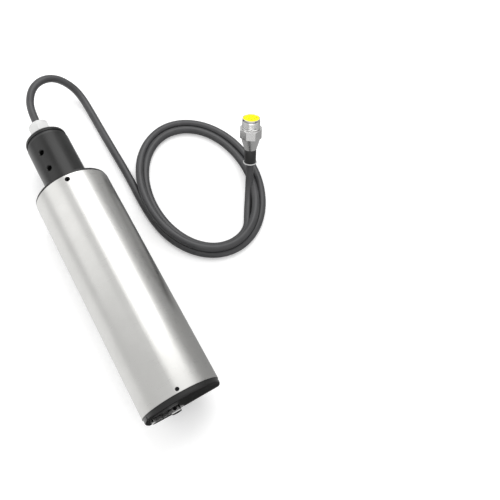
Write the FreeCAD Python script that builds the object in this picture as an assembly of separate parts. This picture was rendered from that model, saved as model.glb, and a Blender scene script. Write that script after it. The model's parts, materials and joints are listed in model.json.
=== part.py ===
"""Submersible water quality probe: a steel tube with an optical sensing head at one end, swept by a
motor-driven wiper, and a cable with a round connector at the other.

Millimetres. The probe lies on the ground plane z = 0 with its axis along Y. The sensing face looks
along -Y, the cable leaves along +Y and lies in a loop and a flat coil on the +X side. Angles round the
probe are measured from +Z towards +X.
"""

import FreeCAD
import Part

import math
import os

V = FreeCAD.Vector

# The model is drawn from a datum of its own, then moved so that the frame's origin is under the middle
# of the probe's whole length.
TO_FRAME = V(0, 2.25, 0)

# Probe
TUBE_R = 30.0
TUBE_WALL = 2.0
TUBE_LENGTH = 184.0
TUBE_TAIL_Y = 57.0
TUBE_HEAD_Y = TUBE_TAIL_Y - TUBE_LENGTH
BORE_R = TUBE_R - TUBE_WALL
AXIS_Z = TUBE_R
PLUG_R = BORE_R - 0.15
PLUG_LENGTH = 20.0
ORING_SECTION_R = 0.95
ORING_CENTRE_R = BORE_R - 0.02 - ORING_SECTION_R
GROOVE_FLOOR_R = BORE_R - 1.95
GROOVE_HALF_WIDTH = 1.3
GROOVE_SPACING = 5.0

# Screws through the tube wall
THIRDS = (4.0, 124.0, 244.0)
TAIL_SCREW_R = 1.9
HEAD_SCREW_R = 1.4
TAIL_SCREW_Y = TUBE_TAIL_Y - 3.6
HEAD_SCREW_Y = TUBE_HEAD_Y + 2.5
TUBE_SCREW_TOP_R = 29.1
TUBE_SCREW_TIP_R = 22.5

# Sensing head
HEAD_R = 29.5
FLOOR_Y = TUBE_HEAD_Y - 1.2
LAND_Y = TUBE_HEAD_Y - 4.5
LAND_EDGE_R = 1.6
LAND_LOW_Z = AXIS_Z - 6.0
POCKET_TOP_Z = AXIS_Z + 16.0
HEAD_END_Y = TUBE_HEAD_Y + PLUG_LENGTH
HEAD_POCKET_R = 21.0
HEAD_POCKET_Y = TUBE_HEAD_Y + 6.5
BOSS_R = 7.5
BOSS_END_Y = HEAD_END_Y - 3.0
WINDOW_R = 3.5
WINDOW_THICK = 2.5
LIGHT_BORE_R = 2.5
WINDOW_ORBIT_R = 12.5
WINDOW_ANGLES = (36.0, 76.0)
OPTICS_BOARD_Y = HEAD_POCKET_Y + 2.0
BOARD_THICK = 1.6

# Wiper
WIPER_X = -6.5
WIPER_Z = AXIS_Z
SHAFT_R = 2.0
RUNNING_GAP = 0.03
SEAL_R = 5.0
SEAL_LENGTH = 3.5
SEAL_Y = FLOOR_Y + 3.7
HUB_TIP_Y = TUBE_HEAD_Y - 7.0
HUB_BASE_Y = FLOOR_Y - 0.4
HUB_R = 3.9
HUB_BOSS_HALF = 3.2
HUB_BOSS_TOP = 5.0
SET_SCREW_R = 1.5
SET_SCREW_Y = HUB_TIP_Y + 3.1
ARM_REACH = 18.3
ARM_HALF_WIDTH = 3.0
BLADE_TIP_GAP = 0.1
BLADE_BACK_Y = FLOOR_Y - 1.6

# Gear train, all axes along Y
MODULE = 0.6
PRESSURE_ANGLE = math.radians(25.0)
BACKLASH = 0.12
PINION_TEETH = 12
WHEEL_TEETH = 30
GEAR_CENTRES = MODULE * (PINION_TEETH + WHEEL_TEETH) / 2.0
IDLER_X = WIPER_X + GEAR_CENTRES
ARBOR_R = 1.2
ROTOR_SHAFT_R = 1.0
CASE_X = (WIPER_X + IDLER_X) / 2.0
CASE_BORE_R = 16.6
CASE_R = 18.4
CASE_FLOOR_Y = HEAD_END_Y + 3.0
CASE_END_Y = CASE_FLOOR_Y + 11.0
CASE_PLATE_Y = CASE_END_Y + 2.5
STAGE_A = (CASE_FLOOR_Y + 0.7, CASE_FLOOR_Y + 3.3)
STAGE_B = (CASE_FLOOR_Y + 4.5, CASE_FLOOR_Y + 7.5)
LUG_R = 2.6
LUG_ORBIT_R = 20.5
LUG_ANGLES = (60.0, 180.0, 300.0)
BRACKET_R = 27.0
BRACKET_SCREW_ORBIT = 23.8
BRACKET_ANGLES = (30.0, 150.0, 270.0)

# Motor
MOTOR_R = 10.0
MOTOR_WALL = 0.8
MOTOR_Y = CASE_PLATE_Y
MOTOR_LENGTH = 26.5
MAGNET_THICK = 1.5
ARMATURE_R = 7.0

# Electronics chassis
ROD_R = 2.0
ROD_ORBIT = 23.5
ROD_ANGLES = (90.0, 210.0, 330.0)
CARRIER_R = 27.0
CARRIER_THICK = 3.0
CARRIER_Y = (-56.0, 29.0)
BOARD_HALF_WIDTH = 18.0
BOARD_Z = AXIS_Z - 4.0

# Tail cap, collar and cable gland
TAIL_PLUG_Y = TUBE_TAIL_Y - PLUG_LENGTH
FLANGE_R = HEAD_R
FLANGE_THICK = 2.0
COLLAR_R = 17.3
COLLAR_Y = TUBE_TAIL_Y + FLANGE_THICK
COLLAR_END_Y = 107.0
COLLAR_BORE_R = 10.5
SPIGOT_R = 12.0
SPIGOT_Y = COLLAR_END_Y - 8.5
LID_R = 16.7
LID_EDGE_R = 2.6
LID_END_Y = 114.0
SIDE_HOLE_R = 2.1
SIDE_HOLE_DEPTH = 4.5
SIDE_HOLE_MOUTH = 0.6
SIDE_HOLE_Y = (77.8, 93.4)
SIDE_HOLE_ANGLES = (-23.5, 156.5)
GLAND_THREAD_R = 6.25
GLAND_THREAD_LENGTH = 11.0
GLAND_HEX_END_Y = LID_END_Y + 3.8
GLAND_END_Y = LID_END_Y + 15.5
GLAND_NECK_R = 6.0
GLAND_SEAL_R = 4.7
GLAND_SEAL_Y = (LID_END_Y + 5.0, LID_END_Y + 11.5)
GLAND_ACROSS_FLATS = 16.0
GLAND_CROWN_EDGE_R = 4.3
GLAND_CABLE_R = 3.6
SHEATH_END_Y = 40.0

# Cable
CABLE_R = 3.25
CABLE_POINTS = [
    V(0, GLAND_END_Y, AXIS_Z),
    V(0, 145.5, 30.0),
    V(6.2, 158.7, 32.6),
    V(14.9, 166.1, 32.3),
    V(25.0, 169.7, 28.3),
    V(34.2, 168.8, 21.5),
    V(41.5, 162.4, 12.4),
    V(44.5, 152.6, 6.5),
    V(45.1, 134.5, 3.3),
    V(45.4, 104.0, 3.3),
    V(46.4, 65.0, 3.3),
    V(45.2, 27.0, 3.3),
]
COIL_CENTRE = V(94.4, 26.0, 0)
COIL_HALF_X = 52.9
COIL_HALF_Y = 69.3
COIL_HOLE_CENTRE = V(92.5, 25.9, 0)
COIL_HOLE_HALF_X = 37.5
COIL_HOLE_HALF_Y = 56.0
COIL_HEIGHT = 11.5

# Connector, standing up out of the coil
CONNECTOR_BASE = V(137.7, 15.4, 22.0)
CONNECTOR_ELEVATION = math.radians(58.0)
CONNECTOR_HEADING = V(0.541, 0.841, 0)
TAIL_RUN = 14.0
BOOT_LENGTH = 13.0
BOOT_R = 4.9
RING_R = 5.7
RING_THICK = 1.0
NUT_CONE_LENGTH = 11.0
NUT_CONE_R = 5.1
NUT_FLAT_LENGTH = 7.5
NUT_ACROSS_FLATS = 17.4
NUT_TURN = math.radians(13.9)
SLEEVE_LENGTH = 8.5
SLEEVE_R = 7.2
SLEEVE_BORE_R = 6.4
CONTACT_ORBIT_R = 2.5
CONTACT_HOLE_R = 0.6
KEY_PIT_R = 0.9
KEY_PIT_ORBIT_R = 4.3
KEY_PIT_TURN = math.radians(-8.0)
CONE_Z = BOOT_LENGTH
FLAT_Z = CONE_Z + NUT_CONE_LENGTH
SLEEVE_Z = FLAT_Z + NUT_FLAT_LENGTH
FACE_Z = SLEEVE_Z + SLEEVE_LENGTH


def rod(radius, y0, y1, x=0.0, z=AXIS_Z):
    """Cylinder along Y."""
    return Part.makeCylinder(radius, y1 - y0, V(x, y0, z), V(0, 1, 0))


def ring(outer, inner, y0, y1, x=0.0, z=AXIS_Z):
    """Tube along Y."""
    return rod(outer, y0, y1, x, z).cut(rod(inner, y0 - 1, y1 + 1, x, z))


def box(x0, x1, y0, y1, z0, z1):
    return Part.makeBox(x1 - x0, y1 - y0, z1 - z0, V(x0, y0, z0))


def round_probe(angle, radius, y, x=0.0, z=AXIS_Z):
    """Point at an angle round an axis along Y, from +Z towards +X."""
    a = math.radians(angle)
    return V(x + radius * math.sin(a), y, z + radius * math.cos(a))


def radial_rod(radius, inner, outer, y, angle):
    """Cylinder pointing out of the probe's axis."""
    start = round_probe(angle, inner, y)
    return Part.makeCylinder(radius, outer - inner, start, round_probe(angle, 1.0, 0, 0, 0))


def turned(outline):
    """Solid turned about the probe's axis from straight (radius, y) corners."""
    points = [V(r, y, AXIS_Z) for r, y in outline]
    face = Part.Face(Part.makePolygon(points + points[:1]))
    return face.revolve(V(0, 0, AXIS_Z), V(0, 1, 0), 360)


def oring(y, centre_r=ORING_CENTRE_R, section_r=ORING_SECTION_R):
    return Part.makeTorus(centre_r, section_r, V(0, y, AXIS_Z), V(0, 1, 0))


def hex_prism(across_flats, y0, y1):
    """Hexagonal bar along Y on the probe's axis."""
    corner = across_flats / math.sqrt(3.0)
    points = [round_probe(60 * k, corner, y0) for k in range(7)]
    return Part.Face(Part.makePolygon(points)).extrude(V(0, y1 - y0, 0))


def extruded_x(outline, x0, x1):
    """Prism along X from (y, z) corners."""
    points = [V(x0, y, z) for y, z in outline]
    return Part.Face(Part.makePolygon(points + points[:1])).extrude(V(x1 - x0, 0, 0))


def extruded_z(outline, z0, z1):
    """Prism along Z from (x, y) corners."""
    points = [V(x, y, z0) for x, y in outline]
    return Part.Face(Part.makePolygon(points + points[:1])).extrude(V(0, 0, z1 - z0))


def thin_rod(radius, start, end):
    """Straight wire between two points."""
    return Part.makeCylinder(radius, (end - start).Length, start, end - start)


def save(name, *solids):
    """Write one named node, made of one solid or a group of separate ones."""
    shape = solids[0] if len(solids) == 1 else Part.makeCompound(list(solids))
    shape.translated(TO_FRAME).exportStep(os.path.join("parts", name + ".step"))


# Tube and its screws


def tube_shell():
    shell = ring(TUBE_R, BORE_R, TUBE_HEAD_Y, TUBE_TAIL_Y)
    for angle in THIRDS:
        shell = shell.cut(radial_rod(TAIL_SCREW_R + 0.1, BORE_R - 2, TUBE_R + 2, TAIL_SCREW_Y, angle))
        shell = shell.cut(radial_rod(HEAD_SCREW_R + 0.1, BORE_R - 2, TUBE_R + 2, HEAD_SCREW_Y, angle))
    return shell


def set_screws(radius, y):
    """Grub screws with hexagon sockets, a little below the tube's surface."""
    screws = []
    for angle in THIRDS:
        screw = radial_rod(radius, TUBE_SCREW_TIP_R, TUBE_SCREW_TOP_R, y, angle)
        socket = radial_rod(radius * 0.5, TUBE_SCREW_TOP_R - 1.5, TUBE_SCREW_TOP_R + 1, y, angle)
        screws.append(screw.cut(socket))
    return screws


def screw_holes(plug, radius, y):
    for angle in THIRDS:
        plug = plug.cut(radial_rod(radius, TUBE_SCREW_TIP_R, TUBE_R + 1, y, angle))
    return plug


def groove(y):
    return ring(BORE_R + 1, GROOVE_FLOOR_R, y - GROOVE_HALF_WIDTH, y + GROOVE_HALF_WIDTH)


# Sensing head


def window_place(angle):
    """Centre of a window on the arc that the wiper's blade sweeps, from -X towards -Z."""
    a = math.radians(angle)
    return WIPER_X - WINDOW_ORBIT_R * math.cos(a), WIPER_Z - WINDOW_ORBIT_R * math.sin(a)


def raised_land():
    """Proud upper part of the face, with a pocket where the wiper parks."""
    disc = rod(HEAD_R, LAND_Y, FLOOR_Y)
    front = [e for e in disc.Edges if abs(e.BoundBox.YMax - LAND_Y) < 0.01]
    land = disc.makeFillet(LAND_EDGE_R, front)
    before, behind = LAND_Y - 1, FLOOR_Y + 1
    swing_r = math.hypot(HUB_BOSS_HALF, HUB_BOSS_TOP) + 0.5
    land = land.cut(box(-40, 40, before, behind, -1, LAND_LOW_Z))
    land = land.cut(rod(swing_r, before, behind, WIPER_X, WIPER_Z))
    left = WIPER_X - ARM_REACH - 0.6
    land = land.cut(box(left, WIPER_X + HUB_BOSS_HALF + 1, before, behind, LAND_LOW_Z - 1, POCKET_TOP_Z))
    return land.cut(box(WIPER_X, WIPER_X + swing_r, before, behind, LAND_LOW_Z - 1, WIPER_Z))


def sensor_head():
    head = rod(HEAD_R, FLOOR_Y, TUBE_HEAD_Y).fuse(rod(PLUG_R, TUBE_HEAD_Y, HEAD_END_Y))
    head = head.fuse(raised_land())
    pocket = rod(HEAD_POCKET_R, HEAD_POCKET_Y, HEAD_END_Y + 1)
    pocket = pocket.cut(rod(BOSS_R, HEAD_POCKET_Y - 1, BOSS_END_Y, WIPER_X, WIPER_Z))
    head = head.cut(pocket)
    head = head.cut(rod(SHAFT_R + 0.3, LAND_Y, HEAD_END_Y, WIPER_X, WIPER_Z))
    head = head.cut(rod(SEAL_R, SEAL_Y, BOSS_END_Y + 1, WIPER_X, WIPER_Z))
    for angle in WINDOW_ANGLES:
        x, z = window_place(angle)
        head = head.cut(rod(WINDOW_R, FLOOR_Y - 1, FLOOR_Y + WINDOW_THICK, x, z))
        head = head.cut(rod(LIGHT_BORE_R, FLOOR_Y, HEAD_POCKET_Y + 1, x, z))
    for angle in BRACKET_ANGLES:
        p = round_probe(angle, BRACKET_SCREW_ORBIT, 0)
        head = head.cut(rod(1.5, HEAD_END_Y - 7, HEAD_END_Y + 1, p.x, p.z))
    for y in head_oring_places():
        head = head.cut(groove(y))
    return screw_holes(head, HEAD_SCREW_R, HEAD_SCREW_Y).removeSplitter()


def head_oring_places():
    last = HEAD_END_Y - 4.0
    return last - GROOVE_SPACING, last


def windows():
    return [rod(WINDOW_R, FLOOR_Y, FLOOR_Y + WINDOW_THICK, *window_place(a)) for a in WINDOW_ANGLES]


def light_part(angle, dome_length):
    """Emitter or receiver: a domed can behind its window, standing on the optics board."""
    x, z = window_place(angle)
    can = rod(LIGHT_BORE_R - 0.1, HEAD_POCKET_Y - dome_length, OPTICS_BOARD_Y, x, z)
    tip = [e for e in can.Edges if abs(e.BoundBox.YMax - (HEAD_POCKET_Y - dome_length)) < 0.01]
    return can.makeFillet(LIGHT_BORE_R * 0.5, tip)


def optics_board():
    y0, y1 = OPTICS_BOARD_Y, OPTICS_BOARD_Y + BOARD_THICK
    board = rod(HEAD_POCKET_R - 0.2, y0, y1)
    return board.cut(rod(BOSS_R + 0.3, y0 - 1, y1 + 1, WIPER_X, WIPER_Z))


def shaft_seal():
    return ring(SEAL_R, SHAFT_R + RUNNING_GAP, SEAL_Y, SEAL_Y + SEAL_LENGTH, WIPER_X, WIPER_Z)


def shaft_bush():
    return ring(SEAL_R, SHAFT_R + RUNNING_GAP, SEAL_Y + SEAL_LENGTH, BOSS_END_Y, WIPER_X, WIPER_Z)


# Wiper


def wiper_hub():
    x, z = WIPER_X, WIPER_Z
    hub = rod(HUB_R, HUB_TIP_Y, HUB_BASE_Y, x, z)
    half = HUB_BOSS_HALF
    hub = hub.fuse(box(x - half, x + half, HUB_TIP_Y, HUB_BASE_Y, z, z + HUB_BOSS_TOP))
    front = [e for e in hub.removeSplitter().Edges if abs(e.BoundBox.YMax - HUB_TIP_Y) < 0.01]
    hub = hub.removeSplitter().makeFillet(0.5, front)
    hub = hub.cut(rod(SHAFT_R, HUB_TIP_Y + 1, HUB_BASE_Y + 1, x, z))
    screw_hole = Part.makeCylinder(SET_SCREW_R, HUB_BOSS_TOP, V(x, SET_SCREW_Y, z), V(0, 0, 1))
    return hub.cut(screw_hole)


def hub_set_screw():
    base = V(WIPER_X, SET_SCREW_Y, WIPER_Z + SHAFT_R)
    screw = Part.makeCylinder(SET_SCREW_R, HUB_BOSS_TOP - SHAFT_R - 0.4, base, V(0, 0, 1))
    socket = Part.makeCylinder(SET_SCREW_R * 0.5, 1.2, base + V(0, 0, 1.6), V(0, 0, 1))
    shaft = rod(SHAFT_R, HUB_TIP_Y + 1, STAGE_A[1], WIPER_X, WIPER_Z)
    return screw.cut(socket).cut(shaft)


def wiper_arm(hub):
    """Flat arm, thick at the hub and thin at the tip."""
    root, tip = WIPER_X - 2.5, WIPER_X - ARM_REACH
    thick_end = root - 3.5
    step = thick_end - 2.5
    front, rear = HUB_TIP_Y + 0.9, BLADE_BACK_Y
    outline = [(root, front), (tip, front + 0.4), (tip, rear)]
    outline += [(step, rear), (thick_end, HUB_BASE_Y), (root, HUB_BASE_Y)]
    arm = extruded_z(outline, WIPER_Z - ARM_HALF_WIDTH, WIPER_Z + ARM_HALF_WIDTH)
    corners = [e for e in arm.Edges if abs(e.BoundBox.XMax - tip) < 0.01 and e.BoundBox.YLength > 1]
    arm = arm.makeFillet(2.0, corners)
    return arm.cut(hub).cut(rod(SHAFT_R, HUB_TIP_Y + 1, HUB_BASE_Y + 1, WIPER_X, WIPER_Z))


def wiper_blade():
    """Rubber strip under the arm, tapered to its wiping edge."""
    x0, x1 = WIPER_X - ARM_REACH + 0.5, WIPER_X - 8.7
    tip = FLOOR_Y - BLADE_TIP_GAP
    outline = [(BLADE_BACK_Y, WIPER_Z - 1.6), (BLADE_BACK_Y, WIPER_Z + 1.6)]
    outline += [(tip, WIPER_Z + 0.6), (tip, WIPER_Z - 0.6)]
    return extruded_x(outline, x0, x1)


def wiper_shaft():
    return rod(SHAFT_R, HUB_TIP_Y + 1, STAGE_A[1], WIPER_X, WIPER_Z)


# Gear train


def involute_angle(base_r, radius):
    ratio = max(radius / base_r, 1.0)
    return math.sqrt(ratio * ratio - 1.0) - math.acos(1.0 / ratio)


def gear(teeth, span, x, z, first_tooth):
    """Spur gear along Y with involute flanks; first_tooth is a tooth's angle from +X towards +Z."""
    pitch_r = MODULE * teeth / 2.0
    base_r = pitch_r * math.cos(PRESSURE_ANGLE)
    tip_r = pitch_r + 0.9 * MODULE
    root_r = pitch_r - 1.25 * MODULE
    at_pitch = math.pi / (2 * teeth) - BACKLASH / (2 * pitch_r)
    half_at_base = at_pitch + involute_angle(base_r, pitch_r)
    flank = [root_r, max(base_r, root_r + 0.1), pitch_r, tip_r]
    points = []
    for k in range(teeth):
        centre = first_tooth + 2 * math.pi * k / teeth
        rising = [(r, centre - half_at_base + involute_angle(base_r, r)) for r in flank]
        falling = [(r, 2 * centre - a) for r, a in reversed(rising)]
        points += [V(x + r * math.cos(a), span[0], z + r * math.sin(a)) for r, a in rising + falling]
    face = Part.Face(Part.makePolygon(points + points[:1]))
    return face.extrude(V(0, span[1] - span[0], 0))


def output_gear():
    """Last wheel of the train, with a tooth pointing at the idler."""
    wheel = gear(WHEEL_TEETH, STAGE_A, WIPER_X, WIPER_Z, 0.0)
    return wheel.cut(rod(SHAFT_R, STAGE_A[0] - 1, STAGE_A[1] + 1, WIPER_X, WIPER_Z))


def idler_gear():
    """Compound idler: its small gear drives the output wheel, its large one meets the pinion."""
    small = gear(PINION_TEETH, STAGE_A, IDLER_X, WIPER_Z, math.pi + math.pi / PINION_TEETH)
    large = gear(WHEEL_TEETH, STAGE_B, IDLER_X, WIPER_Z, math.pi + math.pi / WHEEL_TEETH)
    spacer = rod(3.0, STAGE_A[1] - 0.5, STAGE_B[0] + 0.5, IDLER_X, WIPER_Z)
    arbor = rod(ARBOR_R, CASE_FLOOR_Y - 1.8, CASE_END_Y + 1.3, IDLER_X, WIPER_Z)
    return small.fuse([large, spacer, arbor]).removeSplitter()


def motor_pinion():
    pinion = gear(PINION_TEETH, STAGE_B, WIPER_X, WIPER_Z, 0.0)
    return pinion.cut(rod(ROTOR_SHAFT_R, STAGE_B[0] - 1, STAGE_B[1] + 1, WIPER_X, WIPER_Z))


def lug_places():
    return [round_probe(a, LUG_ORBIT_R, 0, CASE_X) for a in LUG_ANGLES]


def gearcase():
    """Mounting plate and cup that hold the train; the plate is bolted to the sensing head."""
    case = rod(BRACKET_R, HEAD_END_Y, CASE_FLOOR_Y)
    case = case.fuse(rod(CASE_R, CASE_FLOOR_Y, CASE_END_Y, CASE_X))
    for p in lug_places():
        case = case.fuse(rod(LUG_R, CASE_FLOOR_Y, CASE_END_Y, p.x, p.z))
    case = case.cut(rod(CASE_BORE_R, CASE_FLOOR_Y, CASE_END_Y + 1, CASE_X))
    case = case.cut(rod(SHAFT_R + RUNNING_GAP, HEAD_END_Y - 1, CASE_END_Y, WIPER_X, WIPER_Z))
    case = case.cut(rod(ARBOR_R + RUNNING_GAP, CASE_FLOOR_Y - 2.1, CASE_END_Y, IDLER_X, WIPER_Z))
    for p in lug_places():
        case = case.cut(rod(1.0, CASE_END_Y - 6, CASE_END_Y + 1, p.x, p.z))
    for angle in BRACKET_ANGLES:
        p = round_probe(angle, BRACKET_SCREW_ORBIT, 0)
        case = case.cut(rod(1.6, HEAD_END_Y - 1, CASE_FLOOR_Y + 1, p.x, p.z))
    for angle in ROD_ANGLES:
        p = round_probe(angle, ROD_ORBIT, 0)
        case = case.cut(rod(1.2, HEAD_END_Y - 1, CASE_FLOOR_Y + 1, p.x, p.z))
    return case.cut(ribbon_slot(HEAD_END_Y - 1, CASE_FLOOR_Y + 1))


def gearcase_plate():
    y0, y1 = CASE_END_Y, CASE_PLATE_Y
    plate = rod(CASE_R, y0, y1, CASE_X)
    for p in lug_places():
        plate = plate.fuse(rod(LUG_R, y0, y1, p.x, p.z))
    for p in lug_places():
        plate = plate.cut(rod(1.1, y0 - 1, y1 + 1, p.x, p.z))
    plate = plate.cut(rod(ROTOR_SHAFT_R + RUNNING_GAP, y0 - 1, y1 + 1, WIPER_X, WIPER_Z))
    return plate.cut(rod(ARBOR_R + RUNNING_GAP, y0 - 1, y0 + 1.6, IDLER_X, WIPER_Z))


def cap_screw(shank_r, head_r, head_y, tip_y, x, z):
    """Cylinder-head screw driven along -Y, with a socket in its head."""
    head = rod(head_r, head_y, head_y + shank_r * 1.8, x, z)
    socket = rod(shank_r * 0.8, head_y + shank_r * 0.7, head_y + shank_r * 2, x, z)
    return head.cut(socket).fuse(rod(shank_r, tip_y, head_y + 0.01, x, z))


def gearcase_screws():
    return [cap_screw(0.98, 1.9, CASE_PLATE_Y, CASE_END_Y - 5, p.x, p.z) for p in lug_places()]


def bracket_screws():
    places = [round_probe(a, BRACKET_SCREW_ORBIT, 0) for a in BRACKET_ANGLES]
    return [cap_screw(1.48, 2.7, CASE_FLOOR_Y, HEAD_END_Y - 6.5, p.x, p.z) for p in places]


# Motor


def motor_can():
    end_y = MOTOR_Y + MOTOR_LENGTH
    can = rod(MOTOR_R, MOTOR_Y, end_y, WIPER_X, WIPER_Z)
    can = can.cut(rod(MOTOR_R - MOTOR_WALL, MOTOR_Y + 1.5, end_y + 1, WIPER_X, WIPER_Z))
    return can.cut(rod(ROTOR_SHAFT_R + 0.5, MOTOR_Y - 1, MOTOR_Y + 2, WIPER_X, WIPER_Z))


def motor_magnets():
    outer = MOTOR_R - MOTOR_WALL
    y0, y1 = MOTOR_Y + 4, MOTOR_Y + 21
    shell = ring(outer, outer - MAGNET_THICK, y0, y1, WIPER_X, WIPER_Z)
    upper = box(-40, 40, y0 - 1, y1 + 1, WIPER_Z + 3, WIPER_Z + 20)
    lower = box(-40, 40, y0 - 1, y1 + 1, WIPER_Z - 20, WIPER_Z - 3)
    return [shell.common(upper), shell.common(lower)]


def motor_endbell():
    y0 = MOTOR_Y + MOTOR_LENGTH
    bell = rod(MOTOR_R, y0, y0 + 3, WIPER_X, WIPER_Z)
    bell = bell.fuse(rod(3.5, y0 + 2, y0 + 5, WIPER_X, WIPER_Z))
    return bell.cut(rod(ROTOR_SHAFT_R + RUNNING_GAP, y0 - 1, y0 + 3.5, WIPER_X, WIPER_Z))


def motor_rotor():
    shaft = rod(ROTOR_SHAFT_R, STAGE_B[0], MOTOR_Y + MOTOR_LENGTH + 3, WIPER_X, WIPER_Z)
    armature = rod(ARMATURE_R, MOTOR_Y + 5, MOTOR_Y + 20, WIPER_X, WIPER_Z)
    commutator = rod(2.5, MOTOR_Y + 21, MOTOR_Y + 25, WIPER_X, WIPER_Z)
    return shaft.fuse([armature, commutator])


# Electronics chassis


def tie_rods():
    """Rods from the gearcase plate to the tail cap, with a reduced thread at the head end."""
    rods = []
    for angle in ROD_ANGLES:
        p = round_probe(angle, ROD_ORBIT, 0)
        stem = rod(ROD_R, CASE_FLOOR_Y, TAIL_PLUG_Y + 5, p.x, p.z)
        rods.append(stem.fuse(rod(1.2, HEAD_END_Y, CASE_FLOOR_Y + 0.5, p.x, p.z)))
    return rods


def board_carriers():
    """Plates on the tie rods that hold the main board between them."""
    carriers = []
    for y in CARRIER_Y:
        plate = rod(CARRIER_R, y, y + CARRIER_THICK)
        for angle in ROD_ANGLES:
            p = round_probe(angle, ROD_ORBIT, 0)
            plate = plate.cut(rod(ROD_R, y - 1, y + CARRIER_THICK + 1, p.x, p.z))
        window = box(-11, 11, y - 1, y + CARRIER_THICK + 1, BOARD_Z + 3, AXIS_Z + 18)
        carriers.append(plate.cut(window))
    return carriers


def board_span():
    return CARRIER_Y[0] + CARRIER_THICK, CARRIER_Y[1]


def main_board():
    y0, y1 = board_span()
    return box(-BOARD_HALF_WIDTH, BOARD_HALF_WIDTH, y0, y1, BOARD_Z, BOARD_Z + BOARD_THICK)


def board_parts():
    """Controller, memory, driver, transformer and capacitors on the main board."""
    top = BOARD_Z + BOARD_THICK
    parts = [
        box(-6, 6, -20, -8, top, top + 1.6),
        box(7, 12, -22, -15, top, top + 1.4),
        box(-14, -8, -6, 3, top, top + 1.4),
        box(4, 15, -6, 6, top, top + 8),
    ]
    for y in (-30.0, -38.0):
        parts.append(Part.makeCylinder(3.2, 9, V(11, y, top), V(0, 0, 1)))
    return parts


def terminal_block():
    top = BOARD_Z + BOARD_THICK
    block = box(-12.5, 12.5, 14, 23, top, top + 9)
    for k in range(5):
        x = -10 + 5 * k
        block = block.cut(rod(1.2, 18, 24, x, top + 3))
        block = block.cut(Part.makeCylinder(1.6, 3, V(x, 17.5, top + 6.5), V(0, 0, 1)))
    return block


def ribbon_slot(y0, y1):
    return box(-5, 5, y0, y1, AXIS_Z + 19, AXIS_Z + 21)


def ribbon_cable():
    """Flat lead from the optics board, over the motor, down to the main board."""
    high, low = AXIS_Z + 19.5, BOARD_Z + BOARD_THICK
    y0, y1 = OPTICS_BOARD_Y + BOARD_THICK, -62.0
    y2, y3 = -47.0, -43.0
    outline = [(y0, high), (y1, high), (y2, low), (y3, low)]
    outline += [(y3, low + 0.8), (y2 + 0.4, low + 0.8), (y1 + 0.4, high + 0.8), (y0, high + 0.8)]
    return extruded_x(outline, -4, 4)


def motor_leads():
    start_y = MOTOR_Y + MOTOR_LENGTH + 3.3
    end = V(0, -48, BOARD_Z + BOARD_THICK + 0.5)
    leads = []
    for x in (-9.5, -7.0):
        leads.append(thin_rod(0.5, V(x, start_y, AXIS_Z + 6), end + V(x, 0, 0)))
    return leads


# Tail cap, collar and gland


def tail_oring_places():
    first = TAIL_PLUG_Y + 3.5
    return first, first + GROOVE_SPACING


def side_hole(y, angle):
    """Threaded hole into the collar's side, with a countersunk mouth."""
    floor_r = COLLAR_R - SIDE_HOLE_DEPTH - SIDE_HOLE_MOUTH
    bore = radial_rod(SIDE_HOLE_R, floor_r, COLLAR_R + 2, y, angle)
    mouth_r = COLLAR_R - SIDE_HOLE_MOUTH
    start = round_probe(angle, mouth_r, y)
    outward = round_probe(angle, 1.0, 0, 0, 0)
    return bore.fuse(Part.makeCone(SIDE_HOLE_R, SIDE_HOLE_R + 2, 2, start, outward))


def tail_cap():
    """Flanged plug and the collar that the cable leaves through, in one piece."""
    outline = [(COLLAR_BORE_R, TAIL_PLUG_Y), (PLUG_R, TAIL_PLUG_Y), (PLUG_R, TUBE_TAIL_Y)]
    outline += [(FLANGE_R, TUBE_TAIL_Y), (FLANGE_R, COLLAR_Y), (COLLAR_R, COLLAR_Y)]
    outline += [(COLLAR_R, COLLAR_END_Y), (SPIGOT_R, COLLAR_END_Y), (SPIGOT_R, SPIGOT_Y)]
    outline += [(COLLAR_BORE_R, SPIGOT_Y)]
    cap = turned(outline)
    foot = [e for e in cap.Edges if is_ring_edge(e, COLLAR_R, COLLAR_Y)]
    cap = cap.makeFillet(1.8, foot)
    for y in tail_oring_places():
        cap = cap.cut(groove(y))
    for angle in ROD_ANGLES:
        p = round_probe(angle, ROD_ORBIT, 0)
        cap = cap.cut(rod(ROD_R, TAIL_PLUG_Y - 1, TAIL_PLUG_Y + 5, p.x, p.z))
    for angle in SIDE_HOLE_ANGLES:
        for y in SIDE_HOLE_Y:
            cap = cap.cut(side_hole(y, angle))
    return screw_holes(cap, TAIL_SCREW_R, TAIL_SCREW_Y)


def is_ring_edge(edge, radius, y):
    bb = edge.BoundBox
    return abs(bb.YMin - y) < 0.01 and abs(bb.YMax - y) < 0.01 and abs(bb.XMax - radius) < 0.01


def collar_lid():
    """Lid on the collar that the gland screws into, sealed by an O-ring on its spigot."""
    lid = rod(LID_R, COLLAR_END_Y, LID_END_Y)
    top = [e for e in lid.Edges if is_ring_edge(e, LID_R, LID_END_Y)]
    lid = lid.makeFillet(LID_EDGE_R, top)
    lid = lid.fuse(rod(SPIGOT_R - RUNNING_GAP, SPIGOT_Y, COLLAR_END_Y)).removeSplitter()
    lid = lid.cut(rod(GLAND_THREAD_R, SPIGOT_Y - 1, LID_END_Y + 1))
    return lid.cut(ring(SPIGOT_R + 1, SPIGOT_R - 1.6, COLLAR_END_Y - 5, COLLAR_END_Y - 3))


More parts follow.
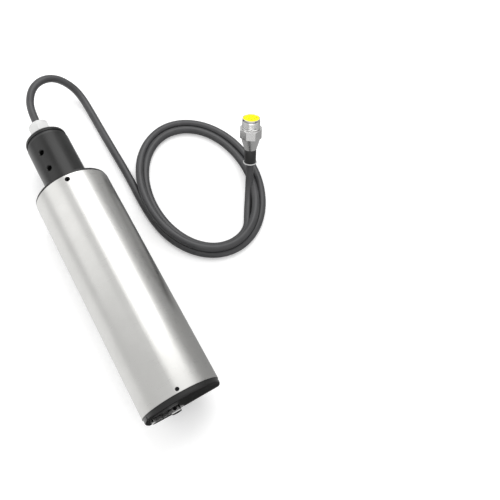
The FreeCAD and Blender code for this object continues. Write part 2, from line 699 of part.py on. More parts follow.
def gland_body():
    """Hexagon base with its lower thread in the lid and its upper thread for the nut."""
    body = hex_prism(GLAND_ACROSS_FLATS, LID_END_Y, GLAND_HEX_END_Y)
    thread = rod(GLAND_THREAD_R, LID_END_Y - GLAND_THREAD_LENGTH, LID_END_Y)
    neck_end = GLAND_SEAL_Y[1] - 2.5
    body = body.fuse([thread, rod(GLAND_NECK_R, GLAND_HEX_END_Y, neck_end)])
    body = body.cut(rod(GLAND_CABLE_R, SPIGOT_Y, GLAND_END_Y))
    return body.cut(rod(GLAND_SEAL_R, GLAND_SEAL_Y[0], GLAND_END_Y))


def gland_seal():
    return ring(GLAND_SEAL_R, CABLE_R - 0.05, *GLAND_SEAL_Y)


def gland_nut():
    """Domed nut: a hexagon grip below a rounded crown."""
    start = GLAND_HEX_END_Y + 0.4
    crown_y = GLAND_END_Y - GLAND_CROWN_EDGE_R
    crown = rod(GLAND_ACROSS_FLATS / math.sqrt(3.0), start, GLAND_END_Y)
    top = [e for e in crown.Edges if abs(e.BoundBox.YMin - GLAND_END_Y) < 0.01]
    foot = [e for e in crown.Edges if abs(e.BoundBox.YMax - start) < 0.01]
    crown = crown.makeFillet(GLAND_CROWN_EDGE_R, top).makeChamfer(0.6, foot)
    grip = hex_prism(GLAND_ACROSS_FLATS, start, crown_y)
    nut = crown.common(grip.fuse(rod(GLAND_ACROSS_FLATS / 2, start, GLAND_END_Y)).removeSplitter())
    nut = nut.cut(rod(GLAND_NECK_R, start - 1, GLAND_SEAL_Y[1] - 2.0))
    nut = nut.cut(rod(GLAND_SEAL_R, start, GLAND_SEAL_Y[1]))
    return nut.cut(rod(GLAND_CABLE_R, start, GLAND_END_Y + 1))


def inner_cable():
    return rod(CABLE_R - 0.05, SHEATH_END_Y, GLAND_END_Y)


def cable_cores():
    """Five cores from the end of the sheath to the terminals."""
    cores = []
    z = BOARD_Z + BOARD_THICK + 3
    for k in range(5):
        x = -10 + 5 * k
        cores.append(thin_rod(0.6, V(x * 0.2, SHEATH_END_Y - 0.3, AXIS_Z), V(x, 23, z)))
    return cores


# Cable and connector


def cable_tube(points):
    """Round tube along straight runs joined by tangent arcs."""
    edges = []
    start = points[0]
    for before, corner, after in zip(points, points[1:], points[2:]):
        back, ahead = before - corner, after - corner
        shorter = min(back.Length, ahead.Length)
        half_turn = (math.pi - back.getAngle(ahead)) / 2
        back.normalize()
        ahead.normalize()
        reach = 0.45 * shorter
        radius = reach / math.tan(half_turn)
        print("bend radius", round(radius, 1), "in diameters", round(radius / CABLE_R / 2, 1))
        first, last = corner + back * reach, corner + ahead * reach
        inward = back + ahead
        inward.normalize()
        middle = corner + inward * (radius / math.cos(half_turn) - radius)
        edges.append(Part.LineSegment(start, first).toShape())
        edges.append(Part.Arc(first, middle, last).toShape())
        start = last
    edges.append(Part.LineSegment(start, points[-1]).toShape())
    path = Part.Wire(edges)
    circle = Part.Circle(points[0], points[1] - points[0], CABLE_R).toShape()
    tube = path.makePipeShell([Part.Wire([circle])], True, True)
    expected = math.pi * CABLE_R**2 * path.Length
    print("cable length", round(path.Length, 1), "volume ratio", round(tube.Volume / expected, 4))
    return tube


def ellipse_disc(centre, half_x, half_y, z0, z1):
    base = V(centre.x, centre.y, z0)
    curve = Part.Ellipse(base + V(0, half_y, 0), base + V(half_x, 0, 0), base)
    return Part.Face(Part.Wire([curve.toShape()])).extrude(V(0, 0, z1 - z0))


def cable_coil():
    """Outer shape of the flat coil."""
    outer = ellipse_disc(COIL_CENTRE, COIL_HALF_X, COIL_HALF_Y, 0, COIL_HEIGHT)
    hole = (COIL_HOLE_CENTRE, COIL_HOLE_HALF_X, COIL_HOLE_HALF_Y)
    return outer.cut(ellipse_disc(*hole, -1, COIL_HEIGHT + 1))


def upward(angle):
    """Unit vector in the connector's upright plane, at an elevation."""
    return CONNECTOR_HEADING * math.cos(angle) + V(0, 0, math.sin(angle))


def cable_tail():
    """Last stretch, bending up out of the coil to the connector."""
    knee = CONNECTOR_BASE - upward(CONNECTOR_ELEVATION) * TAIL_RUN
    low = knee - upward(CONNECTOR_ELEVATION / 2) * TAIL_RUN
    start = V(low.x - 9.0, low.y - 14.0, low.z)
    return cable_tube([start, low, knee, CONNECTOR_BASE])


def connector_axis():
    return upward(CONNECTOR_ELEVATION)


def stand_up(shape):
    """Move a shape built along +Z from the origin onto the connector's axis."""
    spin = FreeCAD.Rotation(V(0, 0, 1), connector_axis())
    placed = shape.copy()
    placed.Placement = FreeCAD.Placement(CONNECTOR_BASE, spin)
    return placed


def upright(radius, z0, z1, x=0.0, y=0.0):
    return Part.makeCylinder(radius, z1 - z0, V(x, y, z0), V(0, 0, 1))


def connector_boot():
    return stand_up(upright(BOOT_R, 0, BOOT_LENGTH))


def boot_ring():
    ring_band = upright(RING_R, 0, RING_THICK).cut(upright(BOOT_R, -1, RING_THICK + 1))
    return stand_up(ring_band)


def octagon(across_flats, z0, z1):
    corner = across_flats / 2 / math.cos(math.pi / 8)
    turns = [NUT_TURN + math.pi / 8 + math.pi / 4 * k for k in range(9)]
    points = [V(corner * math.cos(a), corner * math.sin(a), z0) for a in turns]
    return Part.Face(Part.makePolygon(points)).extrude(V(0, 0, z1 - z0))


def connector_nut():
    """Back shell: an octagon grip above a cone down to the boot."""
    cone = Part.makeCone(NUT_CONE_R, NUT_ACROSS_FLATS / 2 - 0.6, NUT_CONE_LENGTH, V(0, 0, CONE_Z))
    grip = octagon(NUT_ACROSS_FLATS, FLAT_Z, SLEEVE_Z)
    crown = Part.makeCone(NUT_ACROSS_FLATS / 2, NUT_ACROSS_FLATS / 2 + 2, 2, V(0, 0, FLAT_Z - 0.5))
    blank = upright(NUT_ACROSS_FLATS / 2 + 0.8, FLAT_Z, SLEEVE_Z)
    top = [e for e in blank.Edges if abs(e.BoundBox.ZMin - SLEEVE_Z) < 0.01]
    blank = blank.makeChamfer(1.0, top)
    grip = grip.common(blank).common(crown.fuse(upright(NUT_ACROSS_FLATS, FLAT_Z + 1, SLEEVE_Z)))
    return stand_up(cone.fuse(grip).removeSplitter())


def connector_sleeve():
    sleeve = upright(SLEEVE_R, SLEEVE_Z, FACE_Z)
    return stand_up(sleeve.cut(upright(SLEEVE_BORE_R, SLEEVE_Z + 1, FACE_Z + 1)))


def contact_places():
    turns = [KEY_PIT_TURN + math.pi * (2 * k + 1) / 5 for k in range(5)]
    return [(CONTACT_ORBIT_R * math.cos(a), CONTACT_ORBIT_R * math.sin(a)) for a in turns]


def connector_insert():
    insert = upright(SLEEVE_BORE_R, SLEEVE_Z + 1, FACE_Z - 0.3)
    for x, y in contact_places():
        insert = insert.cut(upright(CONTACT_HOLE_R, FACE_Z - 6, FACE_Z + 1, x, y))
    pit_x = KEY_PIT_ORBIT_R * math.cos(KEY_PIT_TURN)
    pit_y = KEY_PIT_ORBIT_R * math.sin(KEY_PIT_TURN)
    return stand_up(insert.cut(upright(KEY_PIT_R, FACE_Z - 3, FACE_Z + 1, pit_x, pit_y)))


def connector_contacts():
    contacts = []
    for x, y in contact_places():
        socket = upright(CONTACT_HOLE_R, FACE_Z - 6, FACE_Z - 1, x, y)
        contacts.append(stand_up(socket.cut(upright(0.45, FACE_Z - 5, FACE_Z, x, y))))
    return contacts


def build():
    os.makedirs("parts", exist_ok=True)
    hub = wiper_hub()
    save("tube_shell", tube_shell())
    save("tail_screws", *set_screws(TAIL_SCREW_R, TAIL_SCREW_Y))
    save("head_screws", *set_screws(HEAD_SCREW_R, HEAD_SCREW_Y))
    save("sensor_head", sensor_head())
    save("head_orings", *[oring(y) for y in head_oring_places()])
    save("optical_windows", *windows())
    save("infrared_emitter", light_part(WINDOW_ANGLES[0], 4.0))
    save("photo_receiver", light_part(WINDOW_ANGLES[1], 3.0))
    save("optics_board", optics_board())
    save("shaft_seal", shaft_seal())
    save("shaft_bush", shaft_bush())
    save("wiper_hub", hub)
    save("hub_set_screw", hub_set_screw())
    save("wiper_arm", wiper_arm(hub))
    save("wiper_blade", wiper_blade())
    save("wiper_shaft", wiper_shaft())
    save("output_gear", output_gear())
    save("idler_gear", idler_gear())
    save("motor_pinion", motor_pinion())
    save("gearcase", gearcase())
    save("gearcase_plate", gearcase_plate())
    save("gearcase_screws", *gearcase_screws())
    save("bracket_screws", *bracket_screws())
    save("motor_can", motor_can())
    save("motor_magnets", *motor_magnets())
    save("motor_endbell", motor_endbell())
    save("motor_rotor", motor_rotor())
    save("tie_rods", *tie_rods())
    save("board_carriers", *board_carriers())
    save("main_board", main_board())
    save("board_parts", *board_parts())
    save("terminal_block", terminal_block())
    save("ribbon_cable", ribbon_cable())
    save("motor_leads", *motor_leads())
    save("tail_cap", tail_cap())
    save("tail_orings", *[oring(y) for y in tail_oring_places()])
    save("collar_lid", collar_lid())
    save("collar_oring", oring(COLLAR_END_Y - 4, SPIGOT_R - 0.82, 0.78))
    save("gland_body", gland_body())
    save("gland_seal", gland_seal())
    save("gland_nut", gland_nut())
    save("inner_cable", inner_cable())
    save("cable_cores", *cable_cores())
    save("sensor_cable", cable_tube(CABLE_POINTS))
    save("cable_coil", cable_coil())
    save("cable_tail", cable_tail())
    save("connector_boot", connector_boot())
    save("boot_ring", boot_ring())
    save("connector_nut", connector_nut())
    save("connector_sleeve", connector_sleeve())
    save("connector_insert", connector_insert())
    save("connector_contacts", *connector_contacts())


build()
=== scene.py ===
"""Water quality probe, its cable laid in about two and a half loose turns, in metres."""

import json
import math

import bmesh
import bpy
from mathutils import Matrix, Vector


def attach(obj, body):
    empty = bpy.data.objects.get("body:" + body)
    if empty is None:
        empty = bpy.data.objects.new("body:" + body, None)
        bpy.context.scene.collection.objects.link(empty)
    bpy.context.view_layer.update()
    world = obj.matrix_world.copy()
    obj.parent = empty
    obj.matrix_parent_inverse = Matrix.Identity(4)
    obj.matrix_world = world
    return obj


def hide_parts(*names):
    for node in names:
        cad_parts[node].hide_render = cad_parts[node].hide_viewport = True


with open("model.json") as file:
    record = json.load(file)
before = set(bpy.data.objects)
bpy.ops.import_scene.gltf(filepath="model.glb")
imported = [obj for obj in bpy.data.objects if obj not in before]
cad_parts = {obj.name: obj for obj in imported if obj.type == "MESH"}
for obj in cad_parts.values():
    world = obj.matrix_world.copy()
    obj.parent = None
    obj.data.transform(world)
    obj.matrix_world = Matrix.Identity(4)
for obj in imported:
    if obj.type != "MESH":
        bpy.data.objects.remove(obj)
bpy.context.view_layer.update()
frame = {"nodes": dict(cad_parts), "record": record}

MM = 0.001
# The lid's heights are counted from a datum this far along the probe
DATUM_Y = 0.00225
PROBE_AXIS_Z = 0.030
TURNING_STEPS = 96
CABLE_DIAMETER = 0.0065
CONNECTOR_BASE = Vector((0.1377, 0.01765, 0.0220))
CONNECTOR_AXIS = Vector((0.286688, 0.445664, 0.848053))
PIT_TURN = math.radians(-161.0)
PIT_ORBIT_RADIUS = 6.95
PIT_HEIGHT = 38.95
PIT_RADIUS = 0.62
PIT_DEPTH = 0.4
# Heights and least radius of the lid's groove faces that take black rubber as a painted shade band
SHADE_BAND_HEIGHTS = (107.3, 110.2)
SHADE_BAND_LEAST_RADIUS = 15
SHARP_EDGE_DEGREES = 28.0
CARD_LIFT = 0.0004
FLOOR_REACH = 4.0
FLOOR_GLOW = 0.2
BACKDROP_GLOW = 0.95

# Camera
CAMERA_PLACE = (0.0175, -0.19235, 0.4723)
CAMERA_FORWARD = (0.1709, 0.2985, -0.939)
CAMERA_RIGHT = (0.868, -0.497, 0.0)
CAMERA_LENS = 44.15
CAMERA_SENSOR = 36.0
CAMERA_NEAR = 0.01

# The cable from the gland, over its arch and down to the table
CABLE_LEAD = [
    (0.0, 0.13175, 0.030),
    (0.0, 0.14775, 0.030),
    (0.0062, 0.16095, 0.0326),
    (0.0149, 0.16835, 0.0323),
    (0.0250, 0.17195, 0.0283),
    (0.0342, 0.17105, 0.0215),
    (0.0415, 0.16465, 0.0124),
    (0.0445, 0.15485, 0.0065),
    (0.0451, 0.13675, 0.0033),
    (0.0454, 0.10625, 0.0033),
    (0.0464, 0.06725, 0.0033),
    (0.0452, 0.02925, 0.0033),
]
# The cable's last bend, up out of the coil to the connector
CABLE_RISE = [
    (0.11807, -0.01289, 0.00334),
    (0.12707, 0.00111, 0.00334),
    (0.13369, 0.01141, 0.01013),
    (0.1377, 0.01765, 0.0220),
]
COIL_CENTRE = (0.094, 0.02825)
POINTS_PER_QUARTER = 4
# Half-widths of the coil at its left and right, then at its bottom and top, by quarter turn
SIDE_HALVES = {0: 0.0490, 2: 0.0500, 4: 0.0460, 6: 0.0434, 8: 0.0422, 10: 0.0420}
END_HALVES = {-1: 0.0660, 1: 0.0660, 3: 0.0660, 5: 0.0628, 7: 0.0594, 9: 0.0595, 11: 0.0595}
FLOOR_STRAND_Z = 0.0033
UPPER_STRAND_Z = 0.0089
LAST_QUARTER = 9.25
# Quarter turns over which the second turn rises onto the first, then comes down again
CLIMB = (3.25, 3.85)
DESCENT = (5.35, 6.25)


# Camera


def add_camera():
    camera = bpy.data.objects.new("camera", bpy.data.cameras.new("camera"))
    bpy.context.scene.collection.objects.link(camera)
    forward = Vector(CAMERA_FORWARD).normalized()
    right = Vector(CAMERA_RIGHT).normalized()
    up = right.cross(forward)
    turn = Matrix((right, up, -forward)).transposed().to_4x4()
    camera.matrix_world = Matrix.Translation(CAMERA_PLACE) @ turn
    camera.data.lens = CAMERA_LENS
    camera.data.sensor_width = CAMERA_SENSOR
    camera.data.clip_start = CAMERA_NEAR
    bpy.context.scene.camera = camera


# Cable


def ease(low, high, value):
    t = min(max((value - low) / (high - low), 0.0), 1.0)
    return t * t * (3 - 2 * t)


def between(stations, quarter):
    """Value at a quarter turn, eased from the station before it to the one after."""
    before = max(k for k in stations if k <= quarter)
    after = before + 2
    share = ease(before, after, quarter)
    return stations[before] * (1 - share) + stations[after] * share


def coil_height(quarter):
    """The second turn climbs over the incoming lead and comes down on the right."""
    climb = ease(*CLIMB, quarter) - ease(*DESCENT, quarter)
    return FLOOR_STRAND_Z + (UPPER_STRAND_Z - FLOOR_STRAND_Z) * climb


def coil_points():
    points = []
    steps = int(LAST_QUARTER * POINTS_PER_QUARTER)
    for k in range(1, steps + 1):
        quarter = k / POINTS_PER_QUARTER
        angle = math.pi + quarter * math.pi / 2
        x = COIL_CENTRE[0] + between(SIDE_HALVES, quarter) * math.cos(angle)
        y = COIL_CENTRE[1] + between(END_HALVES, quarter) * math.sin(angle)
        points.append((x, y, coil_height(quarter)))
    return points


def add_cable():
    route = CABLE_LEAD + coil_points() + CABLE_RISE
    curve = bpy.data.curves.new("cable", "CURVE")
    curve.dimensions = "3D"
    spline = curve.splines.new("NURBS")
    spline.points.add(len(route) - 1)
    for point, place in zip(spline.points, route):
        point.co = (*place, 1.0)
    spline.order_u = 3
    spline.use_endpoint_u = True
    spline.resolution_u = 8
    curve.bevel_depth = CABLE_DIAMETER / 2
    curve.bevel_resolution = 6
    curve.use_fill_caps = True
    cable = bpy.data.objects.new("cable", curve)
    bpy.context.scene.collection.objects.link(cable)
    cable.data.materials.append(cable_jacket())
    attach(cable, "probe")
    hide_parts("sensor_cable", "cable_coil", "cable_tail")
    return cable


# Materials


def new_finish(name):
    """A named material with its node tree and shader."""
    finish = bpy.data.materials.new(name)
    finish.use_nodes = True
    tree = finish.node_tree
    return finish, tree, tree.nodes["Principled BSDF"]


def grain(tree, scale, stretch=(1.0, 1.0, 1.0), detail=4.0):
    """Noise in the piece's own space, finer with a larger scale."""
    coordinates = tree.nodes.new("ShaderNodeTexCoord")
    mapping = tree.nodes.new("ShaderNodeMapping")
    mapping.inputs["Scale"].default_value = stretch
    noise = tree.nodes.new("ShaderNodeTexNoise")
    noise.inputs["Scale"].default_value = scale
    noise.inputs["Detail"].default_value = detail
    tree.links.new(coordinates.outputs["Object"], mapping.inputs["Vector"])
    tree.links.new(mapping.outputs["Vector"], noise.inputs["Vector"])
    return noise.outputs["Fac"]


def colour_between(tree, shader, pattern, dark, light, low=0.35, high=0.65):
    ramp = tree.nodes.new("ShaderNodeValToRGB")
    ramp.color_ramp.elements[0].position = low
    ramp.color_ramp.elements[0].color = (*dark, 1.0)
    ramp.color_ramp.elements[1].position = high
    ramp.color_ramp.elements[1].color = (*light, 1.0)
    tree.links.new(pattern, ramp.inputs["Fac"])
    tree.links.new(ramp.outputs["Color"], shader.inputs["Base Color"])


def roughness_between(tree, shader, pattern, smooth, rough, low=0.3, high=0.7):
    spread = tree.nodes.new("ShaderNodeMapRange")
    spread.inputs["From Min"].default_value = low
    spread.inputs["From Max"].default_value = high
    spread.inputs["To Min"].default_value = smooth
    spread.inputs["To Max"].default_value = rough
    tree.links.new(pattern, spread.inputs["Value"])
    tree.links.new(spread.outputs["Result"], shader.inputs["Roughness"])


def relief(tree, shader, pattern, depth, strength=1.0):
    bump = tree.nodes.new("ShaderNodeBump")
    bump.inputs["Strength"].default_value = strength
    bump.inputs["Distance"].default_value = depth
    tree.links.new(pattern, bump.inputs["Height"])
    tree.links.new(bump.outputs["Normal"], shader.inputs["Normal"])


def metal_finish(name, dark, light, smooth, rough, stretch, scale, depth):
    """Bare metal with tool or brush marks drawn out along one direction."""
    finish, tree, shader = new_finish(name)
    shader.inputs["Metallic"].default_value = 1.0
    marks = grain(tree, scale, stretch)
    patches = grain(tree, 45.0)
    colour_between(tree, shader, patches, dark, light)
    roughness_between(tree, shader, marks, smooth, rough)
    relief(tree, shader, marks, depth)
    return finish


def moulded_finish(name, dark, light, smooth, rough, scale, depth, sheen=0.5):
    """Moulded or machined plastic with a fine even grain and faint handling marks."""
    finish, tree, shader = new_finish(name)
    shader.inputs["Specular IOR Level"].default_value = sheen
    fine = grain(tree, scale)
    patches = grain(tree, 60.0)
    colour_between(tree, shader, patches, dark, light)
    roughness_between(tree, shader, patches, smooth, rough)
    relief(tree, shader, fine, depth)
    return finish


def brushed_tube():
    """Satin stainless tube, polished round on a belt, so its marks run round it."""
    return metal_finish(
        "brushed_stainless", (0.505, 0.502, 0.488), (0.535, 0.532, 0.518),
        0.27, 0.36, (1.0, 40.0, 1.0), 90.0, 0.000012,
    )


def polished_steel():
    return metal_finish(
        "polished_steel", (0.74, 0.74, 0.74), (0.84, 0.84, 0.83),
        0.12, 0.24, (1.0, 1.0, 1.0), 700.0, 0.00001,
    )


def black_oxide():
    return metal_finish(
        "black_oxide_steel", (0.012, 0.012, 0.013), (0.03, 0.03, 0.032),
        0.32, 0.5, (1.0, 1.0, 1.0), 900.0, 0.00002,
    )


def satin_nickel():
    """Turned connector shell, dull nickel plate over fine turning marks."""
    return metal_finish(
        "satin_nickel", (0.60, 0.597, 0.59), (0.66, 0.657, 0.65),
        0.20, 0.23, (1.0, 1.0, 1.0), 260.0, 0.0000004,
    )


def cable_jacket():
    """Dark grey PVC sheath, softly shiny, with a faint extruded grain."""
    finish, tree, shader = new_finish("cable_jacket")
    fine = grain(tree, 900.0)
    patches = grain(tree, 90.0)
    colour_between(tree, shader, patches, (0.034, 0.034, 0.036), (0.048, 0.048, 0.050))
    roughness_between(tree, shader, patches, 0.36, 0.48)
    relief(tree, shader, fine, 0.00004)
    return finish


def black_plastic():
    return moulded_finish(
        "black_acetal", (0.009, 0.009, 0.0089), (0.013, 0.013, 0.0128), 0.28, 0.35, 1400.0, 0.00002,
        sheen=0.32,
    )


def white_nylon():
    finish = moulded_finish(
        "white_nylon", (0.54, 0.54, 0.535), (0.62, 0.62, 0.615), 0.22, 0.30, 800.0, 0.00002,
    )
    shader = finish.node_tree.nodes["Principled BSDF"]
    shader.inputs["Subsurface Weight"].default_value = 0.25
    shader.inputs["Subsurface Radius"].default_value = (0.003, 0.003, 0.003)
    shader.inputs["Subsurface Scale"].default_value = 1.0
    return finish


def yellow_plastic():
    return moulded_finish(
        "yellow_plastic", (0.88, 0.75, 0.0), (0.96, 0.83, 0.002), 0.45, 0.55, 1100.0, 0.00003,
        sheen=0.12,
    )


def black_rubber():
    return moulded_finish(
        "black_rubber", (0.010, 0.010, 0.010), (0.017, 0.017, 0.017), 0.34, 0.44, 1500.0, 0.00003,
    )


def dark_lens():
    return moulded_finish(
        "dark_lens", (0.006, 0.005, 0.008), (0.012, 0.010, 0.014), 0.06, 0.12, 300.0, 0.000003,
    )


def window_glass():
    finish, tree, shader = new_finish("window_glass")
    haze = grain(tree, 220.0)
    colour_between(tree, shader, haze, (0.86, 0.88, 0.88), (0.94, 0.95, 0.95))
    roughness_between(tree, shader, haze, 0.02, 0.08)
    shader.inputs["Transmission Weight"].default_value = 0.85
    shader.inputs["IOR"].default_value = 1.47
    return finish


def board_laminate():
    """Green solder mask over a glass weave."""
    finish, tree, shader = new_finish("board_laminate")
    weave = grain(tree, 500.0, (1.0, 3.0, 1.0))
    colour_between(tree, shader, weave, (0.008, 0.085, 0.03), (0.012, 0.12, 0.045))
    roughness_between(tree, shader, weave, 0.28, 0.4)
    relief(tree, shader, weave, 0.00003)
    return finish


def inner_finishes():
    """Finishes of what is inside the tube, and of small parts, by the record's slot."""
    even = (1.0, 1.0, 1.0)
    return {
        "bronze": metal_finish("bearing_bronze", (0.50, 0.30, 0.13), (0.62, 0.40, 0.19),
                               0.3, 0.45, even, 600.0, 0.00003),
        "aluminium": metal_finish("milled_aluminium", (0.72, 0.73, 0.74), (0.82, 0.83, 0.84),
                                  0.25, 0.4, (6.0, 1.0, 1.0), 300.0, 0.00002),
        "magnet": metal_finish("ferrite_magnet", (0.05, 0.05, 0.055), (0.09, 0.09, 0.095),
                               0.5, 0.7, even, 800.0, 0.00005),
        "grey_rubber": moulded_finish("grey_rubber", (0.18, 0.18, 0.18), (0.25, 0.25, 0.25),
                                      0.55, 0.7, 1200.0, 0.00004),
        "red_pvc": moulded_finish("red_wire", (0.42, 0.02, 0.015), (0.55, 0.03, 0.02),
                                  0.35, 0.5, 900.0, 0.00002),
        "grey_pvc": moulded_finish("grey_ribbon", (0.30, 0.30, 0.31), (0.40, 0.40, 0.41),
                                   0.4, 0.55, 900.0, 0.00003),
        "chip_black": moulded_finish("chip_black", (0.012, 0.012, 0.013), (0.025, 0.025, 0.026),
                                     0.45, 0.6, 1600.0, 0.00003),
        "terminal_green": moulded_finish("terminal_green", (0.02, 0.20, 0.07), (0.03, 0.28, 0.10),
                                         0.4, 0.55, 1000.0, 0.00003),
        "gold_contact": metal_finish("gold_plate", (0.85, 0.60, 0.20), (0.95, 0.72, 0.30),
                                     0.15, 0.25, even, 700.0, 0.00001),
    }


def finish_cad_nodes():
    """Each CAD node takes the finish of its slot in the record."""
    finishes = inner_finishes()
    finishes.update({
        "stainless": brushed_tube(),
        "polished_steel": polished_steel(),
        "black_steel": black_oxide(),
        "nickel": satin_nickel(),
        "black_plastic": black_plastic(),
        "white_nylon": white_nylon(),
        "yellow_plastic": yellow_plastic(),
        "black_rubber": black_rubber(),
        "cable_jacket": bpy.data.materials["cable_jacket"],
        "window_glass": window_glass(),
        "dark_lens": dark_lens(),
        "board_green": board_laminate(),
    })
    for part in frame["record"]["subparts"]:
        for slot in frame["nodes"][part["node"]].material_slots:
            slot.material = finishes[part["material_slot"]]
    return finishes


# Turned pieces


def turned(profile, steps=TURNING_STEPS):
    """Ring turned round Z from the closed outline of its section, (radius, height) in millimetres."""
    bm = bmesh.new()
    corners = [bm.verts.new((radius * MM, 0.0, height * MM)) for radius, height in profile]
    sides = [bm.edges.new(pair) for pair in zip(corners, corners[1:] + corners[:1])]
    bmesh.ops.spin(
        bm, geom=corners + sides, cent=(0, 0, 0), axis=(0, 0, 1), dvec=(0, 0, 0),
        angle=2 * math.pi, steps=steps, use_merge=True,
    )
    bmesh.ops.remove_doubles(bm, verts=bm.verts, dist=0.001 * MM)
    bmesh.ops.recalc_face_normals(bm, faces=bm.faces)
    return bm


def soften(bm, width, segments=2, sharper_than=30.0):
    """Round the edges that turn more sharply than an angle."""
    edges = [
        edge for edge in bm.edges
        if len(edge.link_faces) == 2 and edge.calc_face_angle() > math.radians(sharper_than)
    ]
    bmesh.ops.bevel(
        bm, geom=edges, offset=width * MM, segments=segments, profile=0.5,
        affect="EDGES", material=-1, clamp_overlap=True,
    )


def finish_piece(name, bm, place, finishes, body, slot, *replaced):
    """Put a built shape in its place and let it stand for its CAD nodes."""
    bmesh.ops.transform(bm, matrix=place, verts=bm.verts)
    mesh = bpy.data.meshes.new(name)
    bm.to_mesh(mesh)
    bm.free()
    mesh.shade_smooth()
    mesh.set_sharp_from_angle(angle=math.radians(SHARP_EDGE_DEGREES))
    for finish in finishes:
        mesh.materials.append(finish)
    piece = bpy.data.objects.new(name, mesh)
    bpy.context.scene.collection.objects.link(piece)
    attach(piece, body)
    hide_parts(*replaced)
    return piece


def along_probe():
    """From Z at the origin to the probe's axis, heights becoming distances along Y."""
    return Matrix.Translation((0, DATUM_Y, PROBE_AXIS_Z)) @ Matrix.Rotation(-math.pi / 2, 4, "X")


def along_connector():
    turn = Vector((0, 0, 1)).rotation_difference(CONNECTOR_AXIS.normalized())
    return Matrix.Translation(CONNECTOR_BASE) @ turn.to_matrix().to_4x4()


# Lid on the collar


def add_collar_lid(finishes):
    """Lid with a rounded rim and its spigot, the groove under the rim finished in black rubber as a
    painted shade band.
    """
    rim = [(16.9, 111.4), (16.75, 112.3), (16.3, 113.1), (15.6, 113.7), (14.7, 114.0)]
    groove = [(16.9, 107.0), (16.9, 107.3), (16.1, 107.6), (16.1, 110.0), (16.9, 110.3)]
    bore = [(6.3, 114.0), (6.3, 98.5), (11.9, 98.5), (11.9, 107.0)]
    bm = turned(groove + rim + bore)
    # Faces in the groove under the rim take the second finish, black rubber, as a painted shade band
    for face in bm.faces:
        middle = face.calc_center_median()
        low, high = (height * MM for height in SHADE_BAND_HEIGHTS)
        in_groove = low < middle.z < high and middle.xy.length > SHADE_BAND_LEAST_RADIUS * MM
        face.material_index = 1 if in_groove else 0
    return finish_piece(
        "lid_with_painted_shade_band", bm, along_probe(), [finishes["black_plastic"], finishes["black_rubber"]],
        "probe", "black_plastic", "collar_lid",
    )


# Connector


def thread_outline(top, bottom, pitch, crest, root):
    """Sharp ridges from top to bottom, as (radius, height) corners."""
    corners = []
    height = top
    while height - pitch >= bottom:
        corners += [(root, height), (crest, height - 0.35 * pitch), (crest, height - 0.65 * pitch)]
        height -= pitch
    return corners + [(root, height)]


def add_thread_sleeve(finishes):
    """Threaded ring of the connector, with a plain rim and a locating pit in it."""
    rim = [(6.4, 32.5), (6.4, 39.8), (6.55, 40.0), (6.8, 40.0), (6.95, 39.8)]
    band = [(6.95, 39.4), (6.95, 38.95), (6.95, 38.5), (6.95, 38.1)]
    thread = thread_outline(37.8, 32.8, 1.0, 7.2, 6.8)
    foot = [(6.8, 32.4), (7.2, 32.1), (7.2, 31.5), (3.4, 31.5), (3.4, 32.5)]
    bm = turned(rim + band + thread + foot)
    outward = Vector((math.cos(PIT_TURN), math.sin(PIT_TURN), 0))
    pit = (outward * PIT_ORBIT_RADIUS + Vector((0, 0, PIT_HEIGHT))) * MM
    pit_faces = [f for f in bm.faces if (f.calc_center_median() - pit).length < PIT_RADIUS * MM]
    lifted = bmesh.ops.extrude_face_region(bm, geom=pit_faces)
    inner = [v for v in lifted["geom"] if isinstance(v, bmesh.types.BMVert)]
    bmesh.ops.delete(bm, geom=pit_faces, context="FACES")
    bmesh.ops.translate(bm, vec=-outward * PIT_DEPTH * MM, verts=inner)
    bmesh.ops.recalc_face_normals(bm, faces=bm.faces)
    return finish_piece(
        "thread_sleeve", bm, along_connector(), [finishes["nickel"]], "probe", "nickel",
        "connector_sleeve",
    )


def add_boot(finishes):
    """Rubber boot behind the connector's back nut."""
    outline = [(3.35, 0.0), (4.5, 0.0), (4.9, 0.5), (4.9, 12.7), (4.6, 13.0), (3.35, 13.0)]
    bm = turned(outline)
    soften(bm, 0.2)
    return finish_piece(
        "cable_boot", bm, along_connector(), [finishes["black_rubber"]], "probe", "black_rubber",
        "connector_boot",
    )


def add_boot_ring(finishes):
    """Thin white ring round the foot of the boot."""
    section = [2 * math.pi * k / 12 for k in range(12)]
    outline = [(5.25 + 0.4 * math.cos(a), 0.5 + 0.45 * math.sin(a)) for a in section]
    return finish_piece(
        "white_boot_ring", turned(outline), along_connector(), [finishes["white_nylon"]], "probe",
        "white_nylon", "boot_ring",
    )


# Studio


def add_card(name, corners, shade):
    """Flat card of four corners."""
    bm = bmesh.new()
    bm.faces.new([bm.verts.new(corner) for corner in corners])
    mesh = bpy.data.meshes.new(name)
    bm.to_mesh(mesh)
    bm.free()
    card = bpy.data.objects.new(name, mesh)
    bpy.context.scene.collection.objects.link(card)
    finish, tree, shader = new_finish(name)
    low, high = (shade * 0.97,) * 3, (shade * 1.03,) * 3
    colour_between(tree, shader, grain(tree, 3.0), low, high)
    shader.inputs["Roughness"].default_value = 0.9
    shader.inputs["Specular IOR Level"].default_value = 0.1
    mesh.materials.append(finish)
    return card, shader


def level_corners(x0, y0, x1, y1, z):
    return [(x0, y0, z), (x1, y0, z), (x1, y1, z), (x0, y1, z)]


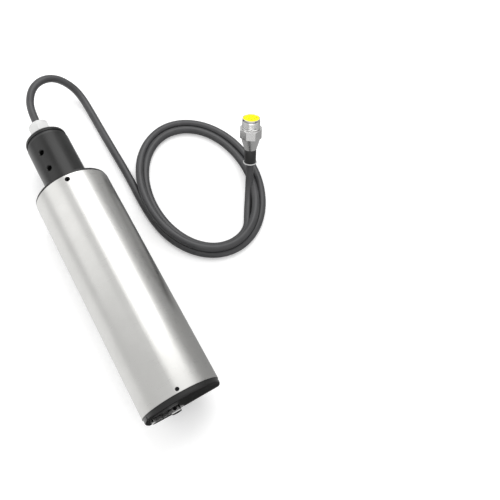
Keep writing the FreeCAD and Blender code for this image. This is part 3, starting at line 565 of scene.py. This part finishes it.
def add_floor():
    corners = level_corners(-FLOOR_REACH, -FLOOR_REACH, FLOOR_REACH, FLOOR_REACH, 0)
    _, shader = add_card("pale_floor", corners, 0.9)
    shader.inputs["Emission Color"].default_value = (1.0, 1.0, 1.0, 1.0)
    shader.inputs["Emission Strength"].default_value = FLOOR_GLOW


def add_dark_cards():
    """Cards that only reflections see, so that the steel's far side and the face stay dark."""
    cards = {
        "right_table_card": (level_corners(0.036, -0.6, 0.9, 0.7, CARD_LIFT), 0.36),
        "right_wall_card": ([(0.9, -0.6, 0), (0.9, -0.6, 0.28), (0.9, 0.9, 0.28), (0.9, 0.9, 0)], 0.40),
        "front_table_card": (level_corners(-0.5, -0.9, 0.5, -0.13, CARD_LIFT), 0.05),
    }
    for name, (corners, shade) in cards.items():
        card, _ = add_card(name, corners, shade)
        card.visible_camera = False
        card.visible_diffuse = False
        card.visible_shadow = False
        card.visible_transmission = False


def add_softbox(name, place, lean, width, length, radiance):
    """Rectangular light with its length along Y, leaned over by an angle from above towards +X."""
    data = bpy.data.lights.new(name, "AREA")
    data.shape = "RECTANGLE"
    data.size = width
    data.size_y = length
    data.energy = radiance * math.pi * width * length
    light = bpy.data.objects.new(name, data)
    bpy.context.scene.collection.objects.link(light)
    light.matrix_world = Matrix.Translation(place) @ Matrix.Rotation(math.radians(lean), 4, "Y")


def light_studio():
    world = bpy.data.worlds.new("studio")
    world.use_nodes = True
    backdrop = world.node_tree.nodes["Background"]
    backdrop.inputs["Color"].default_value = (1.0, 1.0, 1.0, 1.0)
    backdrop.inputs["Strength"].default_value = BACKDROP_GLOW
    bpy.context.scene.world = world
    add_softbox("right_softbox", (0.45, 0.46, 0.78), 31.0, 0.85, 0.72, 2.6)
    add_softbox("left_softbox", (-0.60, 0.64, 0.62), -45.0, 0.75, 0.70, 0.80)
    bpy.context.scene.view_settings.view_transform = "Standard"


add_camera()
cable = add_cable()
finishes = finish_cad_nodes()
add_collar_lid(finishes)
connector = [add_thread_sleeve(finishes), add_boot(finishes), add_boot_ring(finishes)]
connector += [frame["nodes"][n] for n in ("connector_nut", "connector_insert", "connector_contacts")]
add_floor()
add_dark_cards()
light_studio()
